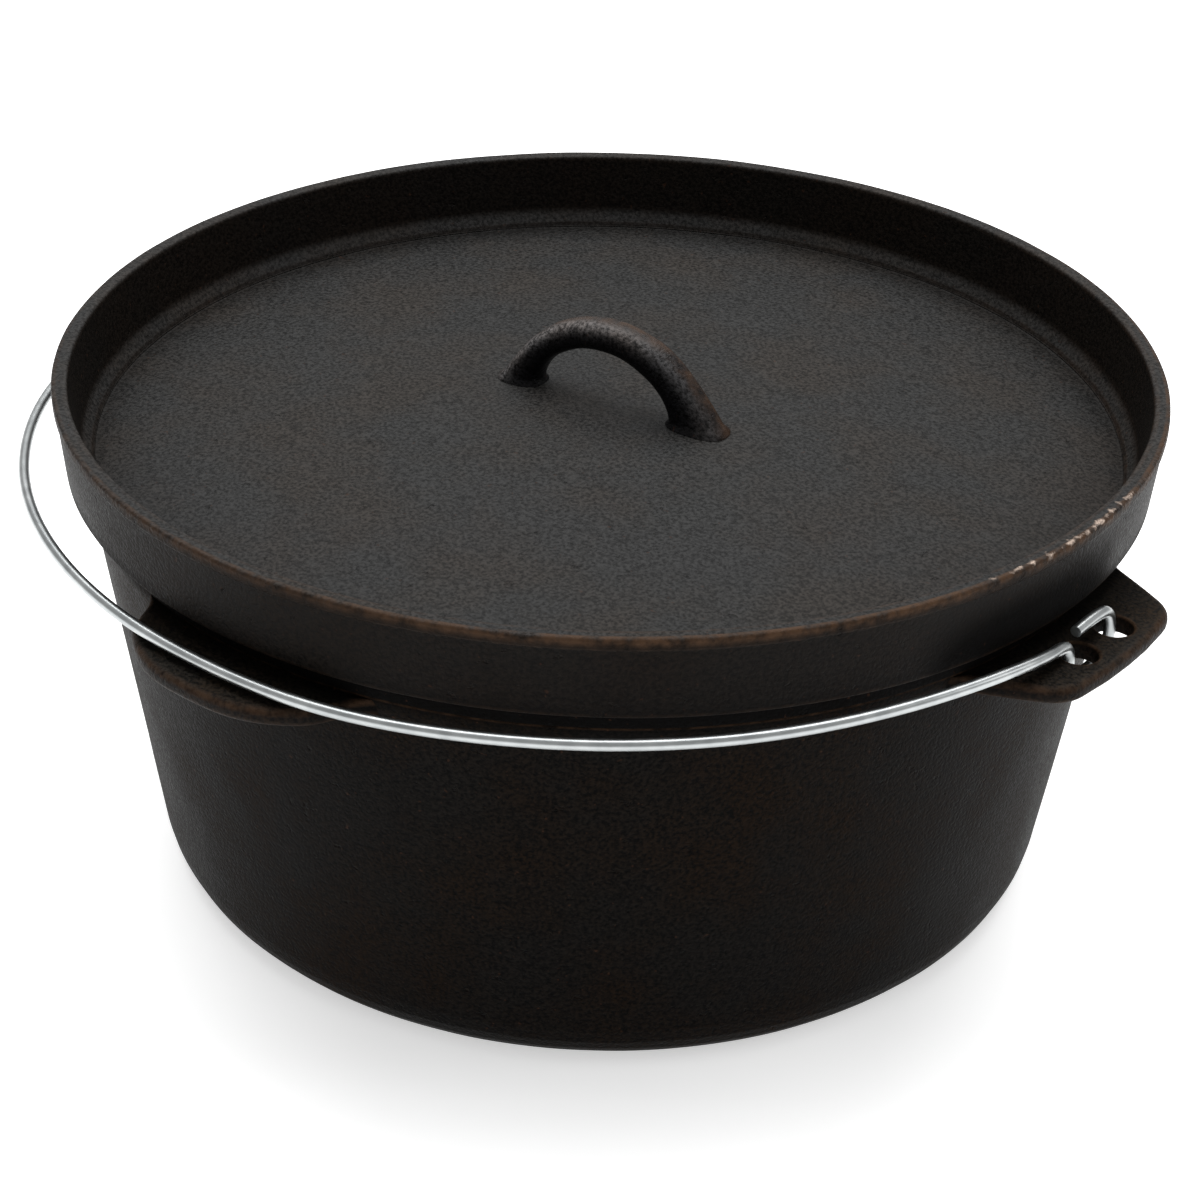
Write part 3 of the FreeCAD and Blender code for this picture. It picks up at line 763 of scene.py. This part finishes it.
# The bail: one length of galvanised wire bent by hand, so the bow isn't quite round. Each end
# goes down the front hole of its ear, under the bridge and up the rear hole, and is cut off short.
def galvanised_wire(name):
    """Bright zinc, smooth from the drawing die, with a faint dull bloom."""
    zinc = bpy.data.materials.new(name)
    zinc.use_nodes = True
    nodes, links = zinc.node_tree.nodes, zinc.node_tree.links
    shader = nodes["Principled BSDF"]
    shader.inputs["Metallic"].default_value = 1.0
    place = nodes.new("ShaderNodeTexCoord")
    bloom = nodes.new("ShaderNodeTexNoise")
    bloom.inputs["Scale"].default_value = 140.0
    bloom.inputs["Detail"].default_value = 5.0
    links.new(place.outputs["Object"], bloom.inputs["Vector"])
    tone = nodes.new("ShaderNodeValToRGB")
    tone.color_ramp.elements[0].position = 0.3
    tone.color_ramp.elements[0].color = (0.36, 0.38, 0.385, 1)
    tone.color_ramp.elements[1].position = 0.7
    tone.color_ramp.elements[1].color = (0.50, 0.52, 0.52, 1)
    links.new(bloom.outputs["Fac"], tone.inputs["Fac"])
    links.new(tone.outputs["Color"], shader.inputs["Base Color"])
    dull = nodes.new("ShaderNodeMapRange")
    dull.inputs["To Min"].default_value = 0.26
    dull.inputs["To Max"].default_value = 0.38
    links.new(bloom.outputs["Fac"], dull.inputs["Value"])
    links.new(dull.outputs["Result"], shader.inputs["Roughness"])
    relief = nodes.new("ShaderNodeBump")
    relief.inputs["Strength"].default_value = 0.12
    relief.inputs["Distance"].default_value = 0.0001
    links.new(bloom.outputs["Fac"], relief.inputs["Height"])
    links.new(relief.outputs["Normal"], shader.inputs["Normal"])
    return zinc


# The wire's route is set out about the hinge line, with the legs level, and then turned down until
# the bow hangs just over the rest tab. Each bend of the bow is a bearing in degrees clockwise from
# the right ear, how far out of round the bow is there and how far it stands above the legs.
pivot = Vector((0, 0, pot_height - 0.0042))
tilt = math.radians(0.818)
bow_radius = -bail_low.y - wire_radius
leg_level = 0.008
leg_start = -0.028
right_leg_lift = 0.0016
bow_bends = [(14, -0.0022, 0.0032), (22, -0.0026, 0.0034), (31, -0.0020, 0.0036),
             (41, -0.0009, 0.0036), (52, -0.0007, 0.0034), (63, -0.0010, 0.0031),
             (73, -0.0008, 0.0024), (82, -0.0016, 0.0017), (91, -0.0025, 0.0014),
             (100, -0.0014, 0.0015), (109, -0.0005, 0.0015), (118, 0.0009, 0.0015),
             (127, 0.0024, 0.0015), (135, 0.0033, 0.0014), (143, 0.0041, 0.0012),
             (151, 0.0046, 0.0009), (160, 0.0040, 0.0004)]
eye_in = 0.0020
leg_in = 0.6 * eye_in
eye_run = [(-0.0195, 0.0080), (-0.0145, 0.0067), (-0.0129, 0.0020), (-0.0128, -0.0030),
           (-0.0095, -0.0076), (-0.0030, -0.0082), (0.0040, -0.0082), (0.0095, -0.0072),
           (0.0124, -0.0025), (0.0120, 0.0040), (0.0090, 0.0086), (0.0040, 0.0098),
           (-0.0035, 0.0102), (-0.0104, 0.0099)]
wire_points = []
for along, up in reversed(eye_run):
    wire_points.append(Vector((eye_across - eye_in, along, up)))
wire_points.append(Vector((eye_across - leg_in, leg_start, leg_level + right_leg_lift)))
for bearing, bend, lift in bow_bends:
    angle = math.radians(bearing)
    reach = min(bow_radius + bend, eye_across / abs(math.cos(angle)))
    height = leg_level + lift
    wire_points.append(Vector((reach * math.cos(angle), -reach * math.sin(angle), height)))
wire_points.append(Vector((leg_in - eye_across, leg_start, leg_level)))
for along, up in eye_run:
    wire_points.append(Vector((eye_in - eye_across, along, up)))

wire_curve = bpy.data.curves.new("bail_wire", "CURVE")
wire_curve.dimensions = "3D"
wire_curve.bevel_depth = wire_radius
wire_curve.bevel_resolution = 6
wire_curve.use_fill_caps = True
wire_curve.resolution_u = 10
run = wire_curve.splines.new("NURBS")
run.points.add(len(wire_points) - 1)
turn_down = Matrix.Rotation(tilt, 4, "X")
for control, place in zip(run.points, wire_points):
    control.co = (*(pivot + turn_down @ place), 1)
run.order_u = 4
run.use_endpoint_u = True
wire_draft = bpy.data.objects.new("wire_draft", wire_curve)
bail_mesh = bpy.data.meshes.new_from_object(wire_draft)
bail_mesh.name = "bail_wire"
bpy.data.objects.remove(wire_draft)
bail_mesh.shade_smooth()
bail_mesh.materials.clear()
bail_wire = placed("bail_wire", bail_mesh, galvanised_wire("galvanised_wire"), "bail")
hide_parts("bail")
